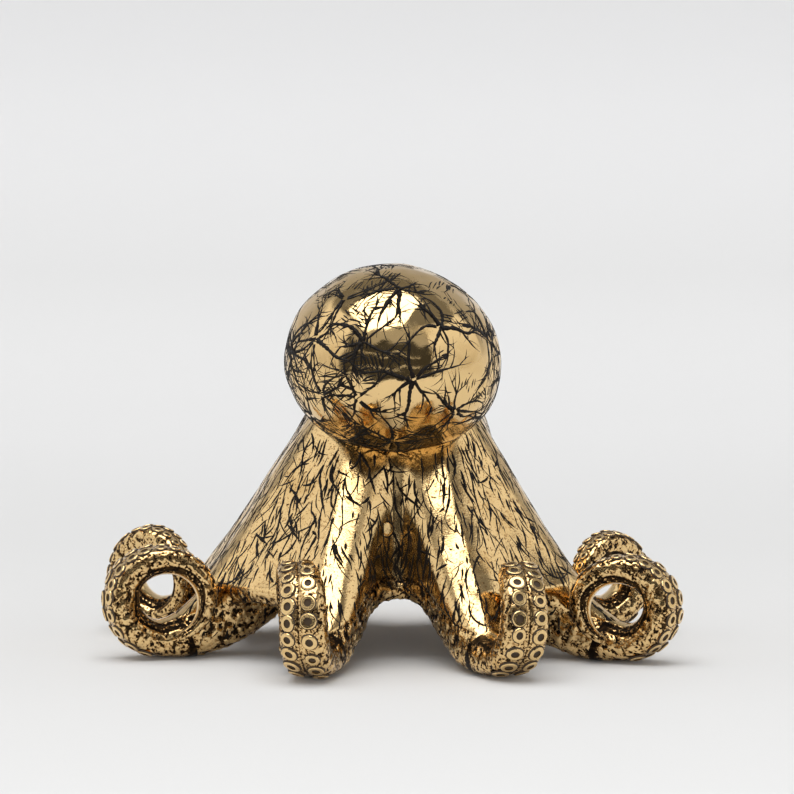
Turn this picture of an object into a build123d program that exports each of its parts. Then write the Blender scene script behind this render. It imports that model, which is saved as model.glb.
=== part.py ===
from build123d import *
import math
import os

# Cast brass octopus standing on its eight curled arms, in millimetres, +Z up.
# It is seen from behind its mantle, so -Y is the side of the photograph and
# left and right are those of the viewer.

# Body
crown_height = 92.0
crown_radius = 14.0
cavity_radius = 40.0
cavity_height = 62.0
web_wall = 8.4
web_steps = 4
head_sides = 24
root_steps = 4

# Mantle, the leaning bulb
mantle_half_width = 40.5
mantle_half_depth = 48.0
mantle_half_height = 36.4
mantle_wall = 3.0
mantle_lean = 24.0
mantle_centre_height = 113.3
mantle_side_shift = 1.5
mantle_sides = 32
mantle_rings = 12
hollow_sides = 20
hollow_rings = 8

# Head behind the mantle, with its two set-in eyes
head_half_width = 31.0
head_half_depth = 27.0
head_half_height = 23.0
head_back_shift = 11.0
head_centre_height = 86.0
eye_diameter = 9.0
eye_stem_diameter = 4.0
eye_stem_length = 6.0
eye_bulge = 3.0
eye_sides = 12
eye_dome_lifts = (0.0, 30.0, 60.0)
eye_azimuth = 36.0
eye_elevation = 24.0

# Arms
arm_reach = 94.0
arm_root_half_width = 15.0
curl_radius = 15.2
curl_turn = 340.0
curl_closing_share = 0.12
tip_clearance = 1.0
tip_passing_place = 1.8
contact_height_over_floor = 1.4
split_share = 0.50
arm_sides = 10
leg_steps = 5
stub_steps = 4
curl_steps = 14
trace_step = 0.002

# Suckers, in two rows along the underside
suckers_per_row = 6
sucker_height = 1.4
sucker_root = 1.0
sucker_pit_depth = 1.0
sucker_taper = 12.0
sucker_sides = 6
ground_flat = 0.25

# Joints between the castings
braze_gap = 0.3
spigot_length = 9.0
spigot_clearance = 0.2
sleeve_diameter = 22.0
sleeve_wall = 2.0
sleeve_length = 26.0
sleeve_seat_height = 68.0
plug_diameter = 5.5
plug_length = 9.5
plug_clearance = 0.1
plug_web, plug_column, plug_row = 3, 2, 4
cut_overrun = 1.0

# How far from flat a facet may be, as a share of its size
flatness = 1e-9

# Each arm round the body, in the order of its azimuth from -Y towards +X: that
# azimuth, share of the reach, share of the curl radius, sideways sweep of the
# curl in degrees, and the side its tip passes on
arm_table = {
    "arm_rear_left": (-157.0, 0.98, 0.95, 0.0, 1),
    "arm_rear_side_left": (-109.0, 1.07, 1.02, 0.0, 1),
    "arm_side_left": (-68.5, 1.00, 1.00, 0.0, 1),
    "arm_front_left": (-23.0, 0.98, 1.03, 15.0, -1),
    "arm_front_right": (23.3, 0.98, 1.00, 0.0, 1),
    "arm_side_right": (62.0, 1.05, 0.96, 0.0, -1),
    "arm_rear_side_right": (112.0, 0.95, 0.95, 0.0, -1),
    "arm_rear_right": (157.5, 0.96, 0.95, 0.0, -1),
}

# Arm's section as shares of its half width at the root: half width, height above
# its middle and depth below it. The first value is the place, 0 at the root, 1 at
# the floor and 2 at the tip.
section_shares = [
    (0.0, 1.00, 1.00, 1.00),
    (0.25, 0.97, 0.90, 1.35),
    (0.5, 0.85, 0.76, 1.44),
    (0.6, 0.80, 0.70, 1.26),
    (0.7, 0.76, 0.64, 1.11),
    (0.8, 0.72, 0.59, 0.86),
    (0.9, 0.67, 0.53, 0.59),
    (1.0, 0.63, 0.48, 0.384),
    (1.25, 0.59, 0.43, 0.344),
    (1.5, 0.50, 0.36, 0.288),
    (1.8, 0.31, 0.24, 0.192),
    (2.0, 0.12, 0.11, 0.088),
]
# Sine of the turn below which the underside of a section is flat
flat_share = 0.8
# Control points of a leg: share of the reach, share of the crown height
leg_knee_shares = (0.48, 0.60)
leg_ankle_shares = (0.73, 0.09)
sway_start_share = 0.45
sucker_radius_share = 0.37
sucker_row_share = 0.50
sucker_pitch_share = 0.78
sucker_pit_share = 0.5
sucker_start = 1.0
spigot_share = 0.55
# Web between each arm of the table and the next one, half way between them: its
# height over the leg's middle line as a share of the leg's height there, how far
# it sags inwards above and at the rim, and the place where its rim is
web_shares = [
    (0.40, 0.04, 0.10, 0.66),
    (0.50, 0.03, 0.06, 0.68),
    (0.60, 0.02, 0.04, 0.70),
    (0.00, 0.06, 0.27, 0.62),
    (0.60, 0.02, 0.04, 0.70),
    (0.50, 0.03, 0.06, 0.68),
    (0.40, 0.04, 0.10, 0.66),
    (0.20, 0.06, 0.20, 0.63),
]
# The first and the last of these at the arms, how quickly the rim bends towards
# them, and the heights between which the sag grows, as shares of the body's
arm_lift_share = 0.30
arm_rim_share = 0.67
rim_bend_share = 1.4
sag_height_shares = (0.70, 0.35)
# Rings of the webs between the neck, 0, and their rim, 1
outer_web_shares = (0.0, 0.2, 0.38, 0.54, 0.72, 0.86, 1.0)
inner_web_shares = (1.0, 0.8, 0.6)

arm_rows = list(arm_table.values())


def taper(place):
    """Half width, height above the middle and depth below it of an arm's section."""
    for low, high in zip(section_shares, section_shares[1:]):
        if place <= high[0]:
            break
    mix = min((place - low[0]) / (high[0] - low[0]), 1.0)
    return [arm_root_half_width * (a + mix * (b - a)) for a, b in zip(low[1:], high[1:])]


def smooth(share):
    share = min(max(share, 0.0), 1.0)
    return share * share * (3 - 2 * share)


def floor_height():
    """Height of an arm's centreline where it meets the floor."""
    return taper(1.0)[2] + contact_height_over_floor - ground_flat


def leg_line(reach, place):
    """Outward and upward position on the middle line of a leg."""
    rest = 1 - place
    blend = (rest**3, 3 * rest**2 * place, 3 * rest * place**2, place**3)
    (knee_out, knee_up), (ankle_out, ankle_up) = leg_knee_shares, leg_ankle_shares
    outs = (crown_radius, knee_out * reach, ankle_out * reach, reach)
    ups = (crown_height, knee_up * crown_height, ankle_up * crown_height, floor_height())
    return sum(b * k for b, k in zip(blend, outs)), sum(b * k for b, k in zip(blend, ups))


def centre(row, place):
    """Centreline of an arm: a leg down to the floor, then a closing curl."""
    azimuth, reach_part, curl_part, sweep, tip_side = row
    reach = arm_reach * reach_part
    lean = math.tan(math.radians(sweep))
    sway_start = sway_start_share * reach
    sway_end = lean * (reach - sway_start) / 2
    if place <= 1.0:
        out, up = leg_line(reach, place)
        side = lean * max(out - sway_start, 0) ** 2 / (2 * (reach - sway_start))
    else:
        turn = math.radians(curl_turn) * (place - 1.0)
        radius = curl_radius * curl_part * (1 - curl_closing_share * (place - 1.0))
        out = reach + radius * math.sin(turn)
        up = floor_height() + curl_radius * curl_part - radius * math.cos(turn)
        passing = taper(1.0)[0] + taper(tip_passing_place)[0] / 2 + tip_clearance
        side = sway_end + (out - reach) * lean
        side += tip_side * passing * smooth((turn - math.pi / 2) / math.pi)
    angle = math.radians(azimuth)
    outward = Vector(math.sin(angle), -math.cos(angle), 0)
    sideways = Vector(math.cos(angle), math.sin(angle), 0)
    return outward * out + sideways * side + Vector(0, 0, up)


def frame(row, place):
    """Point on the centreline with its forward, sideways and dorsal directions."""
    azimuth = math.radians(row[0])
    ahead = min(place + trace_step, section_shares[-1][0])
    behind = max(place - trace_step, 0.0)
    if place == 1.0:
        ahead = place
    forward = (centre(row, ahead) - centre(row, behind)).normalized()
    sideways = Vector(math.cos(azimuth), math.sin(azimuth), 0)
    sideways = (sideways - forward * sideways.dot(forward)).normalized()
    return centre(row, place), forward, sideways, forward.cross(sideways)


def section(row, place, share=1.0, extra=0.0, along=0.0):
    """Cross-section of an arm: round on its back and flattened underneath."""
    point, forward, sideways, dorsal = frame(row, place)
    half_width, height, depth = taper(place)
    corners = []
    for index in range(arm_sides):
        turn = 2 * math.pi * (index + 0.5) / arm_sides
        out = (half_width * share + extra) * math.cos(turn)
        up = (height * share + extra) * math.sin(turn)
        if up < 0:
            up = (depth * share + extra) * max(math.sin(turn) / flat_share, -1)
        corners.append(point + forward * along + sideways * out + dorsal * up)
    return corners


def facet(*corners):
    return Face(Wire.make_polygon(corners, close=True))


def skin(rings):
    """Closed body of flat facets through rings that have as many corners each."""
    facets = [facet(*rings[0]), facet(*rings[-1])]
    for low, high in zip(rings, rings[1:]):
        for index in range(len(low)):
            a, b = low[index - 1], low[index]
            c, d = high[index], high[index - 1]
            if abs((b - a).cross(c - a).normalized().dot((d - a).normalized())) < flatness:
                facets.append(facet(a, b, c, d))
            else:
                facets += [facet(a, b, c), facet(a, c, d)]
    return Solid(Shell(facets))


def tube(row, places):
    """Stretch of an arm between the first and the last of the given places."""
    return skin([section(row, place) for place in places])


def steps(start, end, count):
    return [start + (end - start) * index / count for index in range(count + 1)]


def spigot(row, length, extra):
    """Peg behind an arm's root face, or with extra the socket that takes it."""
    back = section(row, split_share, spigot_share, extra, -length)
    front = section(row, split_share, spigot_share, extra, extra)
    if extra == 0:
        front = section(row, split_share, spigot_share, extra, cut_overrun)
    return skin([back, front])


def sucker(row, place, side):
    """Raised ring with a pit, standing on the underside of an arm."""
    point, forward, sideways, dorsal = frame(row, place)
    half_width, height, depth = taper(place)
    radius = sucker_radius_share * half_width
    seat = point - dorsal * depth
    seat += sideways * side * sucker_row_share * half_width
    foot = Pos(0, 0, -sucker_root) * RegularPolygon(radius, sucker_sides)
    rim = extrude(foot, sucker_root + sucker_height, taper=sucker_taper)
    pit = Pos(0, 0, sucker_height) * RegularPolygon(radius * sucker_pit_share, sucker_sides)
    return Plane(seat, x_dir=forward, z_dir=-dorsal) * (rim - extrude(pit, -sucker_pit_depth))


def sucker_places(row):
    """Places of the suckers, a pitch apart that shrinks as the arm tapers."""
    place = sucker_start
    places = [place]
    while len(places) < suckers_per_row:
        pitch = sucker_pitch_share * taper(place)[0]
        here = frame(row, place)
        start = here[0] - here[3] * taper(place)[2]
        walked = 0.0
        while walked < pitch:
            place += trace_step
            there = frame(row, place)
            spot = there[0] - there[3] * taper(place)[2]
            walked += (spot - start).length
            start = spot
        places.append(place)
    return places


def make_arm(row):
    """Arm from its root face to its tip, with suckers and a flat on the floor."""
    places = steps(split_share, 1.0, leg_steps) + steps(1.0, 2.0, curl_steps)[1:]
    suckers = []
    for place in sucker_places(row):
        suckers += [sucker(row, place, -1), sucker(row, place, 1)]
    arm = tube(row, places).fuse(spigot(row, spigot_length, 0), *suckers)
    ground = Box(4 * arm_reach, 4 * arm_reach, crown_radius, align=(Align.CENTER, Align.CENTER, Align.MAX))
    return arm.cut(ground)


def ring_stack(rings, sides, centre_point=Vector(0, 0, 0)):
    """Closed body through level rings, each given by half width, half depth and height."""
    corners = []
    turns = [2 * math.pi * (index + 0.5) / sides for index in range(sides)]
    for wide, deep, high in rings:
        corners.append([centre_point + Vector(wide * math.cos(t), deep * math.sin(t), high) for t in turns])
    return skin(corners)


def egg(centre_point, half_width, half_depth, half_height, sides, rings):
    """Egg of level rings, as the mantle and the head have."""
    levels = []
    for index in range(rings + 1):
        turn = math.pi * (index + 0.5) / (rings + 1)
        levels.append(
            (half_width * math.sin(turn), half_depth * math.sin(turn), -half_height * math.cos(turn))
        )
    return ring_stack(levels, sides, centre_point)


mantle_centre = Vector(-mantle_side_shift, -mantle_lean, mantle_centre_height)
head_centre = Vector(0, head_back_shift, head_centre_height)


def mantle_egg(extra, sides=mantle_sides, rings=mantle_rings):
    """Mantle's outer form, grown by extra on every side."""
    half_sizes = (mantle_half_width + extra, mantle_half_depth + extra, mantle_half_height + extra)
    return egg(mantle_centre, *half_sizes, sides, rings)


def upright(diameter, low, high):
    """Upright round bar on the neck's axis."""
    return ring_stack([(diameter / 2, diameter / 2, low), (diameter / 2, diameter / 2, high)], head_sides)


def make_mantle():
    """Hollow bulb with the opening that takes the neck sleeve."""
    hollow = mantle_egg(-mantle_wall, hollow_sides, hollow_rings)
    opening = upright(sleeve_diameter + 2 * spigot_clearance, 0, mantle_centre_height)
    return mantle_egg(0).cut(hollow, opening)


def make_sleeve():
    """Neck sleeve that locates the mantle on the crown."""
    top = sleeve_seat_height + sleeve_length
    bore = upright(sleeve_diameter - 2 * sleeve_wall, sleeve_seat_height - cut_overrun, top + cut_overrun)
    return upright(sleeve_diameter, sleeve_seat_height, top).cut(bore)


def web_point(index, share, level, side):
    """Point on the outer, 1, or inner side, -1, of the web that follows an arm of the table.

    The share runs from that arm to the next one and the level from the neck to the rim.
    """
    first, second = arm_rows[index], arm_rows[(index + 1) % len(arm_rows)]
    lift_share, upper_sag_share, rim_sag_share, rim_share = web_shares[index]
    bulge = 4 * share * (1 - share)
    reach = arm_reach * (first[1] + (second[1] - first[1]) * smooth(share))
    place = level * (rim_share + (arm_rim_share - rim_share) * (1 - bulge) ** rim_bend_share)
    out, up = leg_line(reach, place)
    out_ahead, up_ahead = leg_line(reach, place + trace_step)
    forward = Vector(out_ahead - out, 0, up_ahead - up).normalized()
    over = (arm_lift_share + (lift_share - arm_lift_share) * bulge) * taper(place)[1] + side * web_wall / 2
    out -= over * forward.Z
    up += over * forward.X
    sag_start, sag_end = sag_height_shares
    lower = smooth((sag_start - up / crown_height) / (sag_start - sag_end))
    out *= 1 - bulge * (upper_sag_share + (rim_sag_share - upper_sag_share) * lower)
    return Vector(0, -out, up).rotate(Axis.Z, first[0] + share * ((second[0] - first[0]) % 360))


def web_rings():
    """Rings of corners down the outside of the webs, round their rim and up inside."""
    spots = [(index, step / web_steps) for index in range(len(arm_rows)) for step in range(web_steps)]
    rings = [[web_point(*spot, level, 1) for spot in spots] for level in outer_web_shares]
    rings += [[web_point(*spot, level, -1) for spot in spots] for level in inner_web_shares]
    ends = []
    top = (crown_radius / 2, crown_height + crown_radius / 2)
    for radius, height in (top, (crown_radius, cavity_height)):
        level_ring = []
        for corner in rings[0]:
            outward = Vector(corner.X, corner.Y, 0).normalized()
            level_ring.append(outward * radius + Vector(0, 0, height))
        ends.append(level_ring)
    return [ends[0], *rings, ends[1]]


def eye_frame(side):
    """Place and outward direction of an eye on the head."""
    turn = math.radians(eye_azimuth) * side
    lift = math.radians(eye_elevation)
    outward = Vector(math.sin(turn) * math.cos(lift), math.cos(turn) * math.cos(lift), math.sin(lift))
    reach = 1 / math.sqrt(
        (outward.X / head_half_width) ** 2
        + (outward.Y / head_half_depth) ** 2
        + (outward.Z / head_half_height) ** 2
    )
    return Plane(head_centre + outward * reach, z_dir=outward)


def make_eye(side):
    """Domed eye on a stem that sits in a drilled hole."""
    radius = eye_diameter / 2
    lifts = [math.radians(lift) for lift in eye_dome_lifts]
    radii = [radius * math.cos(lift) for lift in lifts]
    dome_rings = [(wide, wide, eye_bulge * math.sin(lift)) for wide, lift in zip(radii, lifts)]
    return eye_frame(side) * (ring_stack(dome_rings, eye_sides) + eye_stem(0))


def eye_stem(extra):
    """Stem of an eye, or with extra the hole that takes it."""
    radius = eye_stem_diameter / 2 + extra
    return ring_stack([(radius, radius, -eye_stem_length - extra), (radius, radius, 0)], eye_sides)


def eye_socket(side):
    """Flat spot and drilled hole in the head for an eye."""
    radius = eye_diameter / 2 + spigot_clearance
    spot = ring_stack([(radius, radius, 0), (radius, radius, 2 * eye_bulge)], eye_sides)
    return eye_frame(side) * (spot + eye_stem(spigot_clearance))


def plug_frame():
    """Place of the core plug, in the middle of a facet of the web between the front arms."""
    column = plug_web * web_steps + plug_column
    upper, lower = web_rings()[plug_row:plug_row + 2]
    across = lower[column] - upper[column - 1]
    other = upper[column] - lower[column - 1]
    return Plane(upper[column - 1] + across / 2, z_dir=across.cross(other))


def make_plug(extra):
    """Round pin that closes a core hole; with extra, the hole it closes."""
    radius = plug_diameter / 2 + extra
    rise = 0 if extra == 0 else cut_overrun
    rings = [(radius, radius, -plug_length - rise), (radius, radius, rise)]
    return plug_frame() * ring_stack(rings, eye_sides)


def make_crown():
    """Hollow body with the webs, the head and the eight arm roots."""
    roots = [tube(row, steps(split_share, 1.0, leg_steps)[:root_steps + 1]) for row in arm_rows]
    web = skin(web_rings()).cut(*roots)
    stubs = [tube(row, steps(0.0, split_share, stub_steps)) for row in arm_rows]
    head_half_sizes = (head_half_width, head_half_depth, head_half_height)
    head = egg(head_centre, *head_half_sizes, head_sides, hollow_rings)
    crown = head.fuse(*stubs, *web.solids())
    sockets = [spigot(row, spigot_length + braze_gap, spigot_clearance) for row in arm_rows]
    bore = upright(sleeve_diameter + 2 * spigot_clearance, sleeve_seat_height, mantle_centre_height)
    rings = [(cavity_radius, cavity_radius, 0), (crown_radius, crown_radius, cavity_height)]
    cavity = ring_stack(rings, hollow_sides)
    cutters = sockets + [mantle_egg(braze_gap), bore, cavity, make_plug(plug_clearance)]
    return crown.cut(*cutters, eye_socket(-1), eye_socket(1))


pieces = {
    "mantle": make_mantle(),
    "crown": make_crown(),
    "neck_sleeve": make_sleeve(),
    "eye_left": make_eye(-1),
    "eye_right": make_eye(1),
    "core_plug": make_plug(0),
}
for name, row in arm_table.items():
    pieces[name] = make_arm(row)

# The origin is under the middle of the whole figure, on the floor
boxes = [piece.bounding_box() for piece in pieces.values()]
left, right = min(box.min.X for box in boxes), max(box.max.X for box in boxes)
front, back = min(box.min.Y for box in boxes), max(box.max.Y for box in boxes)
middle = Location((-(left + right) / 2, -(front + back) / 2, 0))
os.makedirs("parts", exist_ok=True)
for name, piece in pieces.items():
    moved = piece.moved(middle)
    print(name, type(piece).__name__, len(moved.solids()), round(moved.volume), moved.bounding_box())
    export_step(moved, f"parts/{name}.step")
print("middle", middle.position, "width", right - left, "depth", back - front)
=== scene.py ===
import itertools
import math
import bmesh
import bpy
import numpy as np
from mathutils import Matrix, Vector
from mathutils.bvhtree import BVHTree


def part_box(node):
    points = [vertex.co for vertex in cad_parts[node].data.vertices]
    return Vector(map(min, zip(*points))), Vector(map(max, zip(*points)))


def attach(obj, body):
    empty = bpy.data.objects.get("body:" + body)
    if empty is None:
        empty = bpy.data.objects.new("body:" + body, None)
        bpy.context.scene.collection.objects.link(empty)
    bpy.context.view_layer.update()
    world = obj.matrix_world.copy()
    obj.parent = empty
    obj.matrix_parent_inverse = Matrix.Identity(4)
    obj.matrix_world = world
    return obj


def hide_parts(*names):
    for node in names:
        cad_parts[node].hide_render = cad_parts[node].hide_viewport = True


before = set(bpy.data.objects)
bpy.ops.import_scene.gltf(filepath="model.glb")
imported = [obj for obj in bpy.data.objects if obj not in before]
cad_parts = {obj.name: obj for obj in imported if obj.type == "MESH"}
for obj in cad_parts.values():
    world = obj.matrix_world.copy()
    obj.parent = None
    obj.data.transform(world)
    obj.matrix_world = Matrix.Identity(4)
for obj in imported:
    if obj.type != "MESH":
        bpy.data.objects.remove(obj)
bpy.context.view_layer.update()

# Lengths are in millimetres about the neck's axis until a mesh is made.
# They repeat those of the solids, so that each piece lies on its node.
MM = 0.001
neck_low, neck_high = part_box("neck_sleeve")
neck = np.array([(neck_low.x + neck_high.x) / 2, (neck_low.y + neck_high.y) / 2, 0.0])

crown_height, crown_radius = 92.0, 14.0
cavity_radius, cavity_height = 40.0, 62.0
arm_reach, root_half_width = 94.0, 15.0
curl_radius, curl_closing = 15.2, 0.12
curl_turn = math.radians(340.0)
knee_height, ankle_height, ankle_out = 0.60, 0.09, 0.73
floor_clearance = 1.15
tip_passing = root_half_width * (0.63 + 0.31 / 2) + 1.0
floor_height = root_half_width * 0.384 + floor_clearance
mantle_centre = np.array([-1.7, -24.0, 113.3])
mantle_half = np.array([41.4, 48.0, 36.4])
mantle_lean, mantle_lean_level = 0.08, 5.0
head_centre = np.array([0.0, 11.0, 86.0])
head_half = np.array([31.0, 27.0, 23.0])
split_place, curl_start = 0.5, 0.88
tangent_step, tip_round, floor_gap = 0.012, 1.6, 0.02
camera_pitch, aim_height, camera_distance = math.radians(3.7), 97.0, 1170.0
focal_pixels, picture_size = 3000.0, 794

# Azimuth, reach share, curl share, sweep, side on which the tip passes, knee share
arm_table = {
    "arm_rear_left": (-157.0, 0.98, 0.95, 0.0, 1, 0.48),
    "arm_rear_side_left": (-109.0, 1.065, 1.08, 0.0, 1, 0.46),
    "arm_side_left": (-68.5, 1.03, 1.08, 0.0, 1, 0.47),
    "arm_front_left": (-23.0, 0.975, 1.06, 13.0, -1, 0.48),
    "arm_front_right": (23.3, 0.98, 1.03, 5.0, 1, 0.48),
    "arm_side_right": (62.0, 1.045, 1.00, 0.0, -1, 0.42),
    "arm_rear_side_right": (112.0, 0.935, 1.00, 0.0, -1, 0.41),
    "arm_rear_right": (157.5, 0.96, 0.95, 0.0, -1, 0.46),
}
# Place, half width, height above the middle and depth below it, as shares of the
# half width at the root
section_table = [
    (0.0, 1.00, 1.00, 1.00), (0.25, 0.97, 0.90, 1.35), (0.5, 0.85, 0.76, 1.44), (0.6, 0.80, 0.70, 1.26),
    (0.7, 0.76, 0.64, 1.11), (0.8, 0.72, 0.59, 0.86), (0.9, 0.67, 0.53, 0.59), (1.0, 0.63, 0.52, 0.384),
    (1.25, 0.59, 0.50, 0.36), (1.5, 0.50, 0.42, 0.31), (1.8, 0.31, 0.26, 0.20), (2.0, 0.12, 0.11, 0.088),
]
# Between each arm and the next: height of the web over the legs' middle line as
# a share of their thickness, its sag above and at the rim, and the place of its
# rim in the middle
web_table = [
    (0.40, 0.04, 0.10, 0.66), (0.60, 0.03, 0.06, 0.68), (0.70, 0.02, 0.04, 0.70), (0.00, 0.06, 0.27, 0.62),
    (0.70, 0.02, 0.04, 0.70), (0.55, 0.04, 0.08, 0.68), (0.40, 0.04, 0.10, 0.66), (0.20, 0.06, 0.20, 0.63),
]
web_half_thickness, web_rim_round = 4.2, 3.0
lift_at_arms, rim_at_arms = 0.40, 0.67
web_fillet, leg_fillet, head_fillet, cavity_fillet = 9.0, 5.0, 12.0, 3.0

net_pitch = 0.88
curl_pitch = 0.55
curl_sides = 96
crowd = 1.0


# Forms

fine_places = np.linspace(-0.1, 2.1, 881)
blur = np.hanning(51) / np.hanning(51).sum()


def eased(table, column):
    """One column of a table of places with its corners rounded off."""
    shares = np.interp(fine_places, [row[0] for row in table], [row[column] for row in table])
    padded = np.pad(shares, 25, mode="edge")
    return root_half_width * np.convolve(padded, blur, mode="valid")


fine_sections = [eased(section_table, column) for column in (1, 2, 3)]


def taper(place):
    """Half width, height above the middle and depth below it of an arm's section."""
    return [np.interp(place, fine_places, sizes) for sizes in fine_sections]


def ease(share):
    share = np.clip(share, 0.0, 1.0)
    return share * share * (3.0 - 2.0 * share)


def leg_profile(reach, knee_out, place):
    """Outward and upward position along a leg, and how fast both change."""
    rest = 1.0 - place
    outs = (crown_radius, knee_out * reach, ankle_out * reach, reach)
    ups = (crown_height, knee_height * crown_height, ankle_height * crown_height, floor_height)
    blend = (rest**3, 3 * rest**2 * place, 3 * rest * place**2, place**3)
    slope = (3 * rest**2, 6 * rest * place, 3 * place**2)
    out = sum(b * k for b, k in zip(blend, outs))
    up = sum(b * k for b, k in zip(blend, ups))
    out_rate = sum(s * (b - a) for s, a, b in zip(slope, outs, outs[1:]))
    up_rate = sum(s * (b - a) for s, a, b in zip(slope, ups, ups[1:]))
    return out, up, out_rate, up_rate


def centreline(arm, place):
    """Points along an arm: a leg from place 0 to 1 and a closing curl from 1 to 2."""
    azimuth, reach_part, curl_part, sweep, tip_side, knee_out = arm
    place = np.asarray(place, float)
    reach = arm_reach * reach_part
    lean = math.tan(math.radians(sweep))
    sway_start = 0.45 * reach
    out, up = leg_profile(reach, knee_out, np.minimum(place, 1.0))[:2]
    side = lean * np.maximum(out - sway_start, 0.0) ** 2 / (2 * (reach - sway_start))
    turn = curl_turn * np.maximum(place - 1.0, 0.0)
    radius = curl_radius * curl_part * (1 - curl_closing * np.maximum(place - 1.0, 0.0))
    curled = place > 1.0
    out = np.where(curled, reach + radius * np.sin(turn), out)
    up = np.where(curled, floor_height + curl_radius * curl_part - radius * np.cos(turn), up)
    side = np.where(curled, side + (out - reach) * lean, side)
    side = side + tip_side * tip_passing * ease((turn - math.pi / 2) / math.pi)
    angle = math.radians(azimuth)
    outward = np.array([math.sin(angle), -math.cos(angle), 0.0])
    sideways = np.array([math.cos(angle), math.sin(angle), 0.0])
    return out[..., None] * outward + side[..., None] * sideways + up[..., None] * np.array([0.0, 0.0, 1.0])


def unit(vectors):
    return vectors / np.maximum(np.linalg.norm(vectors, axis=-1, keepdims=True), 1e-9)


def dot(a, b):
    return (a * b).sum(-1)


def arm_frame(arm, place):
    """Point, forward, sideways and dorsal directions, and millimetres per unit of place."""
    ahead = np.minimum(place + tangent_step, 2.0)
    behind = np.maximum(place - tangent_step, 0.0)
    span = centreline(arm, ahead) - centreline(arm, behind)
    speed = np.linalg.norm(span, axis=-1) / (ahead - behind)
    forward = unit(span)
    azimuth = math.radians(arm[0])
    sideways = np.array([math.cos(azimuth), math.sin(azimuth), 0.0])
    sideways = unit(sideways - forward * dot(forward, sideways)[..., None])
    return centreline(arm, place), forward, sideways, np.cross(forward, sideways), speed


def section_radius(turn, half_width, height, depth):
    """Distance from an arm's middle to its skin: round on its back, boxy underneath."""
    across, over = np.abs(np.cos(turn)), np.sin(turn)
    back = np.hypot(across / half_width, over / height)
    front = (across / half_width) ** 2.8 + (np.abs(over) / depth) ** 2.8
    return 1.0 / np.where(over >= 0, back, front ** (1 / 2.8))


def smooth_union(a, b, fillet):
    mix = np.maximum(fillet - np.abs(a - b), 0.0) / fillet
    return np.minimum(a, b) - mix * mix * fillet / 4


def smooth_cut(a, b, fillet):
    return -smooth_union(-a, b, fillet)


wave_rng = np.random.default_rng(7)
wave_directions = unit(wave_rng.normal(size=(18, 3)))
wave_phases = wave_rng.uniform(0, 2 * math.pi, 18)


def soft_waves(points, length):
    """Smooth random swell of about unit height and the given wave length."""
    stretch = np.linspace(0.75, 1.35, 18) * 2 * math.pi / length
    phase = points @ (wave_directions * stretch[:, None]).T + wave_phases
    return np.sin(phase).sum(-1) / 3.0


def egg_distance(points, centre, half):
    offset = points - centre
    share = np.maximum(np.linalg.norm(offset / half, axis=-1), 1e-6)
    return (share - 1.0) / share * np.linalg.norm(offset, axis=-1)


def leg_reading(arm, points):
    """Distance from a leg's skin, place along it and turn round it, near the leg only."""
    stations = np.linspace(0.0, 1.0, 41)
    middles = centreline(arm, stations)
    squares = (points**2).sum(1)[:, None] - 2 * points @ middles.T + (middles**2).sum(1)
    nearest = squares.argmin(1)
    rough = np.sqrt(np.maximum(squares[np.arange(len(points)), nearest], 0.0))
    distance = rough - root_half_width
    place = stations[nearest]
    turn = np.zeros(len(points))
    near = np.flatnonzero(rough < 2.4 * root_half_width)
    if len(near):
        spot, here = points[near], place[near]
        for _ in range(2):
            middle, forward, sideways, dorsal, speed = arm_frame(arm, here)
            here = np.clip(here + dot(spot - middle, forward) / speed, 0.0, 1.06)
        middle, forward, sideways, dorsal, speed = arm_frame(arm, here)
        offset = spot - middle
        offset = offset - forward * dot(offset, forward)[:, None] * (here < 1.05)[:, None]
        across, over = dot(offset, sideways), dot(offset, dorsal)
        angle = np.arctan2(over, across)
        distance[near] = np.linalg.norm(offset, axis=1) - section_radius(angle, *taper(here))
        place[near], turn[near] = here, angle
    return distance, place, turn


arms = list(arm_table.values())
azimuths = np.radians([arm[0] for arm in arms])


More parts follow.
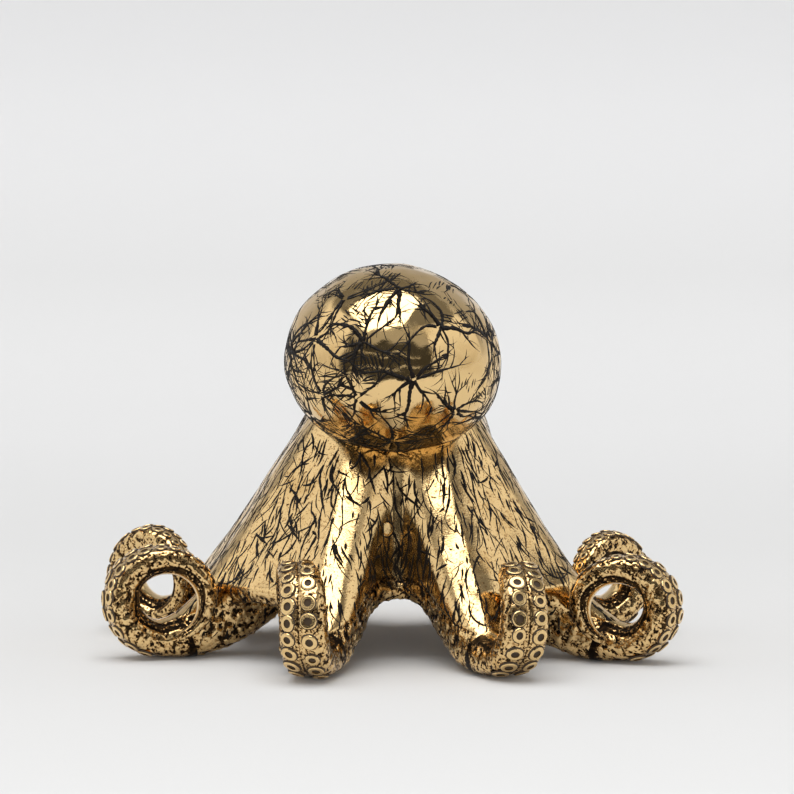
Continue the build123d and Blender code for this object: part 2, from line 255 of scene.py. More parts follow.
def web_distance(points):
    """Distance from the webs stretched between neighbouring legs."""
    azimuth = np.arctan2(points[:, 0], -points[:, 1])
    after = np.searchsorted(azimuths, azimuth)
    first, second = (after - 1) % len(arms), after % len(arms)
    gap = (azimuths[second] - azimuths[first]) % (2 * math.pi)
    share = ((azimuth - azimuths[first]) % (2 * math.pi)) / gap
    reaches = arm_reach * np.array([arm[1] for arm in arms])
    reach = reaches[first] + (reaches[second] - reaches[first]) * ease(share)
    knees = np.array([arm[5] for arm in arms])
    knee_out = knees[first] + (knees[second] - knees[first]) * ease(share)
    lift, sag, rim_sag, rim = (np.array(column)[first] for column in zip(*web_table))
    bulge = 4 * share * (1 - share)
    lift = lift_at_arms + (lift - lift_at_arms) * bulge
    sag = sag + (rim_sag - sag) * ease((64.0 - points[:, 2]) / 32.0)
    out = np.hypot(points[:, 0], points[:, 1]) / (1 - sag * bulge)
    up = points[:, 2]
    place = np.zeros(len(points))
    best = np.full(len(points), np.inf)
    for station in np.linspace(0, 1, 25):
        station_out, station_up = leg_profile(reach, knee_out, station)[:2]
        gap_here = (out - station_out) ** 2 + (up - station_up) ** 2
        place = np.where(gap_here < best, station, place)
        best = np.minimum(best, gap_here)
    for _ in range(3):
        x, z, x_rate, z_rate = leg_profile(reach, knee_out, place)
        rate = np.hypot(x_rate, z_rate)
        place = np.clip(place + ((out - x) * x_rate + (up - z) * z_rate) / rate**2, 0, 1)
    x, z, x_rate, z_rate = leg_profile(reach, knee_out, place)
    rate = np.hypot(x_rate, z_rate)
    over = ((out - x) * -z_rate + (up - z) * x_rate) / rate
    rim_here = rim + (rim_at_arms - rim) * (1 - bulge) ** 1.4
    beyond = (place - rim_here) * rate + web_rim_round
    above = np.abs(over - lift * taper(place)[1]) - web_half_thickness + web_rim_round
    outside = np.hypot(np.maximum(beyond, 0), np.maximum(above, 0))
    return outside + np.minimum(np.maximum(beyond, above), 0) - web_rim_round


eye_azimuth, eye_elevation, eye_diameter, eye_bulge = math.radians(36.0), math.radians(24.0), 9.0, 3.0


def eye_place(side):
    """Seat and outward direction of an eye."""
    turn = eye_azimuth * side
    outward = np.array([math.sin(turn), math.cos(turn), math.tan(eye_elevation)])
    outward = outward / np.linalg.norm(outward)
    return head_centre + outward / np.linalg.norm(outward / head_half), outward


def eyelid_distance(points):
    """Raised lids round both eyes."""
    nearest = np.full(len(points), np.inf)
    for side in (-1, 1):
        seat, outward = eye_place(side)
        offset = points - seat
        high = dot(offset, outward)
        wide = np.linalg.norm(offset - high[:, None] * outward, axis=1)
        ring = np.hypot(wide - 0.74 * eye_diameter, (high - 0.2) * 0.9) - 1.9
        nearest = np.minimum(nearest, ring)
    return nearest


def body_distance(points):
    """Distance from the skin of legs, webs and head, less the hollow underneath."""
    total = np.full(len(points), 1e3)
    for arm in arms:
        total = smooth_union(total, leg_reading(arm, points)[0], leg_fillet)
    total = smooth_union(total, web_distance(points), web_fillet)
    head = smooth_union(egg_distance(points, head_centre, head_half), eyelid_distance(points), 3.0)
    total = smooth_union(total, head, head_fillet)
    cavity_side = cavity_radius - (cavity_radius - crown_radius) * points[:, 2] / cavity_height
    hollow = np.maximum(np.hypot(points[:, 0], points[:, 1]) - cavity_side, points[:, 2] - cavity_height)
    total = smooth_cut(total, hollow, cavity_fillet)
    inside_mantle = egg_distance(points, mantle_centre, mantle_half - 3.0)
    total = np.maximum(total, -inside_mantle)
    return total - 0.08 * soft_waves(points, 18.0)


def mantle_distance(points):
    """Distance from the mantle's skin, with the slight swell of hand polishing."""
    swell = 0.14 * soft_waves(points, 19.0) + 0.04 * soft_waves(points + 40.0, 7.0)
    leaned = points.copy()
    right_half = ease((points[:, 0] - mantle_centre[0]) / 22.0)
    leaned[:, 0] += mantle_lean * (points[:, 2] - mantle_centre[2] - mantle_lean_level) * right_half
    return egg_distance(leaned, mantle_centre, mantle_half) + 0.25 - swell


def skin_gradient(distance, points, step=0.2):
    """Distance at points and how it changes along each axis."""
    here = distance(points)
    slopes = []
    for axis in range(3):
        moved = points.copy()
        moved[:, axis] += step
        slopes.append((distance(moved) - here) / step)
    return here, np.stack(slopes, 1)


def settle(distance, points, rounds=1):
    """Points moved onto the skin, and its outward direction there."""
    for _ in range(rounds):
        here, slope = skin_gradient(distance, points)
        points = points - slope * (here / np.maximum(dot(slope, slope), 0.1))[:, None]
    return points, unit(slope)


def slab(axis, part):
    """Takes a part of one axis of a grid and all of the others."""
    return tuple(part if k == axis else slice(None) for k in range(3))


but_first, but_last = slice(1, None), slice(None, -1)


def body_net(pitch):
    """Even net of quads over the body's skin, from a coarse grid that is filled in near the skin."""
    low, high = np.array([-96.0, -94.0, -1.0]), np.array([96.0, 94.0, 116.0])
    shape = np.ceil((high - low) / (4 * pitch)).astype(int) * 4 + 1
    axes = [low[k] + pitch * np.arange(shape[k]) for k in range(3)]
    sparse = np.stack(np.meshgrid(*[a[::4] for a in axes], indexing="ij"), -1)
    values = body_distance(sparse.reshape(-1, 3)).reshape(sparse.shape[:3])
    wanted = np.abs(values) < 5.2 * pitch
    for axis in range(3):
        grown = wanted.copy()
        grown[slab(axis, but_first)] |= wanted[slab(axis, but_last)]
        grown[slab(axis, but_last)] |= wanted[slab(axis, but_first)]
        wanted = grown
    for axis in range(3):
        values, wanted = np.repeat(values, 4, axis), np.repeat(wanted, 4, axis)
    middle = tuple(slice(2, 2 + count) for count in shape)
    margin = [(0, shape[k] - values[middle].shape[k]) for k in range(3)]
    values = np.pad(values[middle], margin, mode="edge").astype(float)
    wanted = np.pad(wanted[middle], margin, mode="edge")
    spots = np.argwhere(wanted)
    for part in np.array_split(spots, max(1, len(spots) // 60000)):
        values[tuple(part.T)] = body_distance(low + pitch * part)
    return surface_net(values, low, pitch)


def surface_net(values, low, pitch):
    """Quads where the values on a grid cross zero, facing the positive side."""
    inside = values < 0
    shape = np.array(values.shape) - 1
    count = np.zeros(shape, np.int8)
    for corner in itertools.product((0, 1), repeat=3):
        count += inside[tuple(slice(c, c + n) for c, n in zip(corner, shape))]
    cells = np.argwhere((count > 0) & (count < 8))
    number = np.full(shape, -1)
    number[tuple(cells.T)] = np.arange(len(cells))
    total, hits = np.zeros((len(cells), 3)), np.zeros(len(cells))
    for axis in range(3):
        others = [k for k in range(3) if k != axis]
        for corner in itertools.product((0, 1), repeat=2):
            start = np.zeros(3, int)
            start[others] = corner
            end = start.copy()
            end[axis] = 1
            a, b = values[tuple((cells + start).T)], values[tuple((cells + end).T)]
            crossing = (a < 0) != (b < 0)
            spot = np.repeat(start[None].astype(float), len(cells), 0)
            spot[crossing, axis] += a[crossing] / (a - b)[crossing]
            total[crossing] += spot[crossing]
            hits += crossing
    points = low + pitch * (cells + total / hits[:, None])
    quads = []
    for axis in range(3):
        u, v = (axis + 1) % 3, (axis + 2) % 3
        end = inside[slab(axis, but_first)]
        spots = np.argwhere(inside[slab(axis, but_last)] != end)
        within = (spots[:, [u, v]] > 0) & (spots[:, [u, v]] < shape[[u, v]])
        spots = spots[within.all(1)]
        step_u, step_v = np.eye(3, dtype=int)[u], np.eye(3, dtype=int)[v]
        corners = ((1, 1), (0, 1), (0, 0), (1, 0))
        ring = np.stack([number[tuple((spots - a * step_u - b * step_v).T)] for a, b in corners], 1)
        facing_back = end[tuple(spots.T)]
        ring[facing_back] = ring[facing_back][:, ::-1]
        quads.append(ring)
    return points, np.concatenate(quads)


def relax(points, quads, rounds, distance):
    """Spreads the points evenly over the skin."""
    ends = np.concatenate([quads[:, [k, (k + 1) % 4]] for k in range(4)])
    ends = np.concatenate([ends, ends[:, ::-1]])
    counts = np.bincount(ends[:, 0], minlength=len(points))[:, None]
    normals = None
    for _ in range(rounds):
        middle = np.stack([np.bincount(ends[:, 0], points[ends[:, 1], k], len(points)) for k in range(3)], 1)
        points = points + 0.6 * (middle / np.maximum(counts, 1) - points)
        points, normals = settle(distance, points)
    return points, normals


# Meshes

def add_object(name, content):
    """Object at the origin that holds a mesh, a lamp or a camera."""
    holder = bpy.data.objects.new(name, content)
    bpy.context.scene.collection.objects.link(holder)
    return holder


def close_rims(mesh):
    """Closes the open edges of a mesh with flat caps."""
    form = bmesh.new()
    form.from_mesh(mesh)
    bmesh.ops.holes_fill(form, edges=[edge for edge in form.edges if edge.is_boundary], sides=0)
    form.to_mesh(mesh)
    form.free()


def add_mesh(name, points, faces, materials, attributes=None, face_material=None, normals=None):
    """Object at the origin, from points in millimetres about the neck's axis and faces of three
    (then a -1) or four points."""
    mesh = bpy.data.meshes.new(name)
    mesh.vertices.add(len(points))
    mesh.vertices.foreach_set("co", (points * MM + neck).astype(np.float32).ravel())
    sizes = faces.shape[1] - (faces[:, -1] < 0)
    corners = faces.ravel()[faces.ravel() >= 0]
    mesh.loops.add(len(corners))
    mesh.loops.foreach_set("vertex_index", corners.astype(np.int32))
    mesh.polygons.add(len(faces))
    starts = np.concatenate([[0], np.cumsum(sizes)[:-1]])
    mesh.polygons.foreach_set("loop_start", starts.astype(np.int32))
    mesh.update(calc_edges=True)
    mesh.validate()
    for material in materials:
        mesh.materials.append(material)
    if face_material is not None:
        mesh.polygons.foreach_set("material_index", np.asarray(face_material, np.int32))
    mesh.polygons.foreach_set("use_smooth", np.ones(len(mesh.polygons), bool))
    for key, value in (attributes or {}).items():
        layer = mesh.attributes.new(key, "FLOAT", "POINT")
        layer.data.foreach_set("value", np.asarray(value, np.float32))
    if normals is not None:
        close_rims(mesh)
        mesh.normals_split_custom_set_from_vertices([tuple(n) for n in normals])
    return add_object(name, mesh)


def finish_piece(piece, slot, *nodes):
    """Puts a finished piece on the figure, in the place of the named nodes."""
    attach(piece, "root")
    if nodes:
        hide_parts(*nodes)


# Materials

class Nodes:
    """Nodes of a material, the studio or the suckers, with a short call for each kind."""

    def __init__(self, tree):
        self.nodes, self.links = tree.nodes, tree.links

    def feed(self, node, inputs):
        """Links or sets inputs of a node by name or number."""
        for label, value in inputs.items():
            if hasattr(value, "is_output"):
                self.links.new(value, node.inputs[label])
            else:
                node.inputs[label].default_value = value

    def add(self, kind, inputs=None, **settings):
        """Outputs of a new node."""
        node = self.nodes.new(kind)
        for label, value in settings.items():
            setattr(node, label, value)
        self.feed(node, inputs or {})
        return node.outputs

    def math(self, operation, *inputs):
        return self.add("ShaderNodeMath", dict(enumerate(inputs)), operation=operation)[0]

    def times(self, *inputs):
        return self.math("MULTIPLY", *inputs)

    def ramp(self, *inputs):
        """Smooth step, from a source, its low and high and the values there."""
        inputs = dict(enumerate(inputs))
        return self.add("ShaderNodeMapRange", inputs, interpolation_type="SMOOTHSTEP")["Result"]

    def noise(self, scale, detail=3.0, distortion=0.0):
        place = self.add("ShaderNodeTexCoord")["Object"]
        inputs = {"Vector": place, "Scale": scale, "Detail": detail, "Distortion": distortion}
        return self.add("ShaderNodeTexNoise", inputs)["Fac"]

    def mix(self, share, first, second):
        return self.add("ShaderNodeMix", {0: share, 6: first, 7: second}, data_type="RGBA")[2]


def new_material(name):
    """Material and its nodes."""
    material = bpy.data.materials.new(name)
    material.use_nodes = True
    return material, Nodes(material.node_tree)


polished_gold = (0.86, 0.605, 0.285, 1.0)
warm_gold = (0.62, 0.38, 0.13, 1.0)
burnt_gold = (0.42, 0.22, 0.07, 1.0)
brown_patina = (0.10, 0.055, 0.020, 1.0)
black_patina = (0.014, 0.009, 0.006, 1.0)
soot = (0.004, 0.003, 0.002, 1.0)
dark_umber, dull_umber = (0.020, 0.013, 0.008, 1.0), (0.075, 0.050, 0.030, 1.0)


# Noise cells per metre
cloud_scale, haze_scale, filling_scale, speck_scale = 55.0, 260.0, 400.0, 700.0
fibre_scale, grit_scale, grain_scale = 900.0, 1100.0, 1500.0


def cast_metal(name, brown=0.35, worn_attribute=None, gloss=0.13, grain=1.0):
    """Polished cast metal: gold with brown clouds, and black where the form is rough."""
    material, metal = new_material(name)
    clouds, specks = metal.noise(cloud_scale, 4.0, 0.6), metal.noise(speck_scale)
    haze = metal.noise(haze_scale, 5.0, 1.2)
    colour = metal.mix(metal.ramp(clouds, 0.50, 0.72, 0.0, brown), polished_gold, warm_gold)
    dark = metal.times(metal.ramp(specks, 0.69, 0.74), metal.ramp(haze, 0.48, 0.60))
    if worn_attribute:
        wear = metal.add("ShaderNodeAttribute", attribute_name=worn_attribute)["Fac"]
        speckle = metal.math("MULTIPLY_ADD", metal.noise(grit_scale, 3.0, 0.5), 2.1, -1.30)
        rough = metal.math("ADD", wear, metal.math("MULTIPLY_ADD", haze, 0.6, speckle))
        colour = metal.mix(metal.ramp(rough, 0.20, 0.50, 0.0, 0.75), colour, burnt_gold)
        dark = metal.math("MAXIMUM", dark, metal.ramp(rough, 0.46, 0.60))
    patina = metal.mix(metal.ramp(haze, 0.48, 0.75), black_patina, brown_patina)
    sheen = metal.ramp(haze, 0.3, 0.7, gloss - 0.04, gloss + 0.08)
    height = metal.math("MULTIPLY_ADD", dark, -1.2, metal.noise(grain_scale, 2.0))
    height = metal.math("MULTIPLY_ADD", haze, 0.8, height)
    bump = metal.add("ShaderNodeBump", {"Strength": 0.35 * grain, "Distance": 0.00012, "Height": height})
    metal.feed(metal.nodes["Principled BSDF"], {
        "Base Color": metal.mix(dark, colour, patina), "Metallic": 1.0, "Normal": bump["Normal"],
        "Roughness": metal.math("MULTIPLY_ADD", dark, 0.38, sheen)})
    return material


def stroke_fill(name, first=soot, second=black_patina):
    """Black-brown filling of the engraved strokes and of the suckers' pits."""
    material, filling = new_material(name)
    clouds = filling.noise(filling_scale, 2.0)
    filling.feed(filling.nodes["Principled BSDF"], {
        "Base Color": filling.mix(clouds, first, second), "Specular IOR Level": 0.25,
        "Roughness": filling.ramp(clouds, 0.3, 0.7, 0.5, 0.8)})
    return material


mantle_gold = cast_metal("mantle gold", 0.45, None, 0.085, 0.5)
body_gold = cast_metal("body gold", 0.55, "worn")
arm_gold = cast_metal("arm gold", 0.40, "worn")
sucker_gold = cast_metal("sucker gold", 0.45, None, 0.18)
eye_gold = cast_metal("eye gold", 0.1, None, 0.08, 0.4)
sleeve_gold = cast_metal("turned sleeve", 0.2, None, 0.3)
stroke_black = stroke_fill("stroke filling")
pit_brown = stroke_fill("sucker pit", dark_umber, dull_umber)


# Body

body_points, body_quads = body_net(net_pitch)
body_points, body_normals = relax(body_points, body_quads, 3, body_distance)


def nearest_leg(points):
    """For each point the nearest leg, the place along it, the turn round it and the distance."""
    best = np.full(len(points), np.inf)
    which, place, turn = np.zeros(len(points), int), np.zeros(len(points)), np.zeros(len(points))
    for index, arm in enumerate(arms):
        distance, here, angle = leg_reading(arm, points)
        closer = distance < best
        best = np.where(closer, distance, best)
        which[closer], place[closer], turn[closer] = index, here[closer], angle[closer]
    return which, place, turn, best


def roughness_zone(place, turn):
    """Share of rough dark casting: sides and undersides of the legs, higher up towards the curls."""
    edge = np.interp(place, [0.3, 0.5, 0.65, 0.8, 0.92], [-1.1, -0.5, -0.05, 0.5, 0.93])
    return ease((edge - np.sin(turn)) / 0.12 + 0.5)


leg_of, leg_place, leg_turn, leg_gap = nearest_leg(body_points)
zone = roughness_zone(leg_place, leg_turn)
inward = ease((-dot(body_normals, unit(body_points * [1, 1, 0])) - 0.05) / 0.3) * (body_points[:, 2] < 70)
below = ease((-body_normals[:, 2] - 0.1) / 0.4) * (body_points[:, 2] < 62)
worn = np.maximum(zone, 0.8 * np.maximum(inward, below))
dents = 0.6 * soft_waves(body_points, 2.6) + 0.5 * soft_waves(body_points + 90.0, 4.6)
skirt_edge = np.exp(-(((zone - 0.5) / 0.35) ** 2))
body_points = body_points + body_normals * (worn * (0.30 * dents - 0.25) - 0.25 * skirt_edge)[:, None]
worn = np.maximum(worn * np.clip(0.28 - 0.42 * dents, 0.0, 0.9), 0.75 * skirt_edge)
body_points[:, 2] = np.maximum(body_points[:, 2], floor_gap)


def vertex_normals(points, faces):
    """Outward direction at each point, from the faces round it."""
    normals = np.zeros_like(points)
    cross = np.cross(points[faces[:, 2]] - points[faces[:, 0]], points[faces[:, 3]] - points[faces[:, 1]])
    for corner in range(4):
        for k in range(3):
            normals[:, k] += np.bincount(faces[:, corner], cross[:, k], len(points))
    return unit(normals)


body_normals = vertex_normals(body_points, body_quads)
quad_place = leg_place[body_quads].mean(1)
quad_gap = leg_gap[body_quads].mean(1)
quad_leg = leg_of[body_quads[:, 0]]
on_arm = (quad_place > split_place) & (quad_gap < 1.2)
past_curl_start = leg_place[body_quads].max(1) > curl_start + 0.01


def part_of_body(chosen):
    """Points, quads, normals and wear of the chosen quads of the body's net."""
    faces = body_quads[chosen]
    used, renumbered = np.unique(faces, return_inverse=True)
    return body_points[used], renumbered.reshape(faces.shape), body_normals[used], worn[used]


points, faces, normals, wear = part_of_body(~on_arm & ~((quad_gap < 1.2) & past_curl_start))
crown = add_mesh("body_crown", points, faces, [body_gold], {"worn": wear}, None, normals)
finish_piece(crown, "body_metal", "crown")


# Curls

def closed_tube(rings, first_end, last_end):
    """Points and faces of a tube through rings of points, closed at both ends."""
    sides = rings.shape[1]
    first = np.arange(sides)
    following = (first + 1) % sides
    starts = sides * np.arange(len(rings) - 1)[:, None]
    walls = np.stack([starts + first, starts + following, starts + sides + following,
                      starts + sides + first], -1)
    last, tip = sides * (len(rings) - 1), sides * len(rings)
    none = np.full(sides, -1)
    last_cap = np.stack([last + first, last + following, np.full(sides, tip), none], 1)
    first_cap = np.stack([following, first, np.full(sides, tip + 1), none], 1)
    points = np.concatenate([rings.reshape(-1, 3), [last_end, first_end]])
    return points, np.concatenate([walls.reshape(-1, 4), last_cap, first_cap])


def curl_skin(arm, seed):
    """Tube of the curled end of an arm with its chased sides, and how worn it is."""
    places = np.linspace(curl_start, 2.0, 400)
    spans = np.linalg.norm(np.diff(centreline(arm, places), axis=0), axis=1)
    lengths = np.concatenate([[0], np.cumsum(spans)])
    count = int(lengths[-1] / curl_pitch)
    places = np.interp(np.linspace(0, lengths[-1], count), lengths, places)
    middle, forward, sideways, dorsal, _ = arm_frame(arm, places)
    sizes = taper(places)
    turns = np.linspace(0, 2 * math.pi, curl_sides, endpoint=False)
    radius = section_radius(turns[None], *(size[:, None] for size in sizes))
    ray = np.cos(turns)[None, :, None] * sideways[:, None] + np.sin(turns)[None, :, None] * dorsal[:, None]
    base = middle[:, None] + ray * radius[..., None]
    shift = base + 31.0 * seed
    along = np.linspace(0, lengths[-1], count)[:, None] + 0 * turns
    fade = ease((places - curl_start) / 0.06)[:, None]
    over = np.sin(turns)[None] + 0 * along
    # Chased side: hammered dents that run over the edge of the sucker strip
    side_zone = ease((0.62 - over) / 0.2) * ease((over + 0.80) / 0.12)
    dents = soft_waves(shift, 1.5) * 0.55 + soft_waves(shift + 17.0, 3.2) * 0.55
    # Two grooves along the inside of the curl with a ridge between them
    wander = 0.05 * soft_waves(np.stack([along * 0.35, along * 0, along * 0], -1) + 7.0 * seed, 6.0)
    grooves = np.zeros_like(over)
    for level, depth, width in ((0.50, 0.42, 0.075), (0.74, 0.30, 0.06)):
        for side in (-1, 1):
            gap = np.where(np.cos(turns) * side > 0, np.abs(np.sin(turns) - level - wander * side), 9.0)
            grooves = np.maximum(grooves, depth * np.exp(-((gap / width) ** 2)))
    seam = np.exp(-((np.cos(turns)[None] / 0.09) ** 2)) * (np.sin(turns)[None] < 0)
    raise_by = fade * (0.15 * side_zone * dents - grooves - 0.3 * seam * ease((2.0 - places) / 0.3)[:, None])
    raise_by = raise_by * np.minimum(1.0, sizes[1] / 4.0)[:, None]
    skin = base + ray * raise_by[..., None]
    dark_side = side_zone * np.clip(0.30 - 0.36 * dents, 0.0, 0.75)
    dark_groove = np.clip(grooves * 3.0, 0.0, 1.0)
    inner = 0.62 * ease((over - 0.42) / 0.1) * ease((0.90 - over) / 0.1)
    strip = np.maximum(0.34 * ease((-over - 0.55) / 0.1), 0.75 * seam)
    wear = np.maximum(np.maximum(dark_side, dark_groove), np.maximum(inner, strip))
    wear = fade * wear + (1 - fade) * roughness_zone(places[:, None], turns[None] + 0 * along)
    # Round the tip off
    tip_rings = []
    for angle in np.radians([30.0, 60.0, 80.0]):
        tip_rings.append(middle[-1] + forward[-1] * tip_round * math.sin(angle)
                         + (skin[-1] - middle[-1]) * math.cos(angle))
    rings = np.concatenate([skin, np.array(tip_rings)])
    wears = np.concatenate([wear, np.repeat(wear[-1:], len(tip_rings), 0)]).ravel()
    points, faces = closed_tube(rings, middle[0], middle[-1] + forward[-1] * tip_round)
    points[:, 2] = np.maximum(points[:, 2], floor_gap)
    return points, faces, np.concatenate([wears, [0.0, 0.0]])


for index, (name, arm) in enumerate(arm_table.items()):
    of_leg = on_arm & (quad_leg == index) & ~past_curl_start
    leg_points, leg_faces, leg_normals, leg_wear = part_of_body(of_leg)
    curl_points, curl_faces, curl_wear = curl_skin(arm, index)
    curl_normals = vertex_normals(curl_points, curl_faces[curl_faces[:, 3] >= 0])
    shifted = np.where(curl_faces >= 0, curl_faces + len(leg_points), -1)
    leg = add_mesh(name.replace("arm", "leg"), np.concatenate([leg_points, curl_points]),
                   np.concatenate([leg_faces, shifted]), [arm_gold],
                   {"worn": np.concatenate([leg_wear, curl_wear])}, None,
                   np.concatenate([leg_normals, curl_normals]))
    finish_piece(leg, "arm_metal", name)


# Suckers

def sucker_tree():
    """Raised ring with a dark edge and pit at every point of a mesh, turned and sized by attributes."""
    tree = bpy.data.node_groups.new("suckers", "GeometryNodeTree")
    new_socket = tree.interface.new_socket
    new_socket("Points", in_out="INPUT", socket_type="NodeSocketGeometry")
    for label, value in (("Edge Share", 0.88), ("Rim Height", 0.10), ("Rim Share", 0.90), ("Pit Share", 0.62),
                         ("Pit Depth", 0.15)):
        new_socket(label, in_out="INPUT", socket_type="NodeSocketFloat").default_value = value
    for label in ("Metal", "Pit"):
        new_socket(label, in_out="INPUT", socket_type="NodeSocketMaterial")
    new_socket("Suckers", in_out="OUTPUT", socket_type="NodeSocketGeometry")
    nodes = Nodes(tree)
    add, given, end = nodes.add, nodes.add("NodeGroupInput"), tree.nodes.new("NodeGroupOutput")

    def push(mesh, top, height, share):
        """Pushes the top out by a share of a height."""
        offset = nodes.times(height, share)
        pushed = add("GeometryNodeExtrudeMesh", {"Mesh": mesh, "Selection": top, "Offset Scale": offset})
        return pushed["Mesh"], pushed["Top"]

    def narrow(mesh, top, share):
        inputs = {"Geometry": mesh, "Selection": top, "Scale": share}
        return add("GeometryNodeScaleElements", inputs)["Geometry"]

    def attribute(label, kind="FLOAT_VECTOR"):
        return add("GeometryNodeInputNamedAttribute", {"Name": label}, data_type=kind)["Attribute"]

    def mark(mesh, chosen):
        inputs = {"Name": "pit", "Geometry": mesh, **chosen}
        return add("GeometryNodeStoreNamedAttribute", inputs, data_type="BOOLEAN", domain="FACE")["Geometry"]

    def paint(mesh, material, chosen=True):
        inputs = {"Geometry": mesh, "Material": material, "Selection": chosen}
        return add("GeometryNodeSetMaterial", inputs)["Geometry"]

    disc = add("GeometryNodeMeshCylinder", {"Vertices": 16, "Radius": 1.0, "Depth": 0.2})
    top, rim_height = disc["Top"], given["Rim Height"]
    form = narrow(mark(disc["Mesh"], {"Value": disc["Side"]}), top, given["Edge Share"])
    for part, share in ((0.7, 0.93), (0.3, given["Rim Share"]), (-0.1, given["Pit Share"])):
        form, top = push(form, top, rim_height, part)
        form = narrow(form, top, share)
    form, top = push(form, top, given["Pit Depth"], -1.0)
    turned = add("FunctionNodeAxesToRotation", {0: attribute("facing"), 1: attribute("forward")},
                 primary_axis="Z", secondary_axis="X")
    spread = add("GeometryNodeInstanceOnPoints", {
        "Points": given["Points"], "Instance": mark(form, {"Selection": top, "Value": True}),
        "Rotation": turned[0], "Scale": attribute("size")})
    realised = add("GeometryNodeRealizeInstances", {"Geometry": spread["Instances"]})["Geometry"]
    painted = paint(paint(realised, given["Metal"]), given["Pit"], attribute("pit", "BOOLEAN"))
    nodes.feed(end, {"Suckers": painted})
    return tree


sucker_group = sucker_tree()
sucker_sockets = {item.name: item.identifier for item in sucker_group.interface.items_tree
                  if item.in_out == "INPUT"}
first_sucker, last_sucker, sucker_share, row_share = 1.05, 1.93, 0.37, 0.47


def underside_point(arm, place, share):
    """Point on the underside of an arm, a share of its half width off the middle, and its axes."""
    middle, forward, sideways, dorsal, _ = arm_frame(arm, place)
    half_width, _, depth = taper(place)
    depth = depth * (1 - abs(share) ** 2.8) ** (1 / 2.8)
    facing = unit(-dorsal + 0.35 * share * sideways)
    return middle + sideways * (share * half_width)[..., None] - dorsal * depth[..., None], facing, forward


def sucker_spots(arm):
    """Place, side and size of each sucker, closer together as the arm gets thinner."""
    spots = []
    place = first_sucker
    while place < last_sucker:
        half_width, height, _ = (float(size) for size in taper(place))
        spots += [(place, row_share * side, sucker_share * half_width) for side in (-1, 1)]
        speed = arm_frame(arm, np.array([place]))[4]
        place += 0.80 * half_width / (float(speed[0]) * (1.0 + 0.8 * height / curl_radius))
    return spots


def sucker_carrier(arm, seed):
    """Mesh of points with the direction and size of each sucker."""
    rng = np.random.default_rng(seed)
    places, shares, sizes = np.array(sucker_spots(arm)).T
    places = places + rng.normal(0, 0.003, len(places))
    rows = [underside_point(arm, np.array([place]), share + rng.normal(0, 0.01))
            for place, share in zip(places, shares)]
    points, facings, forwards = (np.array([row[part][0] for row in rows]) for part in range(3))
    carrier = bpy.data.meshes.new("sucker spots")
    carrier.from_pydata([tuple(p) for p in points * MM + neck], [], [])
    sizes = sizes[:, None] * MM * (1 + rng.normal(0, 0.07, (len(sizes), 3)))
    for key, value in (("facing", facings), ("forward", forwards), ("size", sizes)):
        layer = carrier.attributes.new(key, "FLOAT_VECTOR", "POINT")
        layer.data.foreach_set("vector", value.astype(np.float32).ravel())
    return carrier


for index, (name, arm) in enumerate(arm_table.items()):
    holder = add_object("sucker spots", sucker_carrier(arm, 100 + index))
    modifier = holder.modifiers.new("suckers", "NODES")
    modifier.node_group = sucker_group
    modifier[sucker_sockets["Metal"]] = sucker_gold
    modifier[sucker_sockets["Pit"]] = pit_brown
    holder.update_tag()
    bpy.context.view_layer.update()
    mesh = bpy.data.meshes.new_from_object(holder.evaluated_get(bpy.context.evaluated_depsgraph_get()))
    mesh.name = name.replace("arm", "suckers")
    places = np.zeros(len(mesh.vertices) * 3, np.float32)
    mesh.vertices.foreach_get("co", places)
    places[2::3] = np.maximum(places[2::3], 0.00001)
    mesh.vertices.foreach_set("co", places)
    mesh.polygons.foreach_set("use_smooth", np.zeros(len(mesh.polygons), bool))
    bpy.data.objects.remove(holder)
    finish_piece(add_object(mesh.name, mesh), "arm_metal", name)


# Mantle

def mantle_skin():
    """Close, even net of triangles over the mantle."""
    bpy.ops.mesh.primitive_ico_sphere_add(subdivisions=7, radius=1.0)
    ball = bpy.context.object
    points = np.zeros(len(ball.data.vertices) * 3)
    ball.data.vertices.foreach_get("co", points)
    faces = np.zeros(len(ball.data.polygons) * 3, np.int32)
    ball.data.polygons.foreach_get("vertices", faces)
    bpy.data.objects.remove(ball)
    points = points.reshape(-1, 3) * mantle_half + mantle_centre
    faces = faces.reshape(-1, 3)
    return settle(mantle_distance, points, 2)[0], np.concatenate([faces, np.full((len(faces), 1), -1)], 1)


mantle_points, mantle_faces = mantle_skin()
mantle = add_mesh("mantle_bulb", mantle_points, mantle_faces, [mantle_gold])
finish_piece(mantle, "mantle_metal", "mantle")


# Engraved strokes

def walk(skin, starts, headings, lengths, stride, waviness, rng):
    """Strokes that wander over a skin: points, outward directions and number of points of each."""
    steps = int(max(lengths) / stride) + 2
    turning = 0.5 * rng.normal(0, waviness, (len(starts), steps))
    turning += 0.35 * rng.normal(0, waviness, turning.shape)
    trails = np.zeros((len(starts), steps, 3))
    outs = np.zeros_like(trails)
    counts = np.maximum(4, (np.asarray(lengths) / stride).astype(int))
    for index, (start, heading) in enumerate(zip(starts, headings)):
        point, heading = Vector(start), Vector(heading)
        bend = 0.0
        for step in range(min(steps, counts[index] + 1)):
            point, normal = skin.find_nearest(point)[:2]
            bend = 0.7 * bend + turning[index, step]
            heading = heading - normal * heading.dot(normal)
            heading = (heading.normalized() + normal.cross(heading).normalized() * bend).normalized()
            trails[index, step], outs[index, step] = point, normal
            point = point + heading * stride
    return trails, outs, np.minimum(counts, steps)


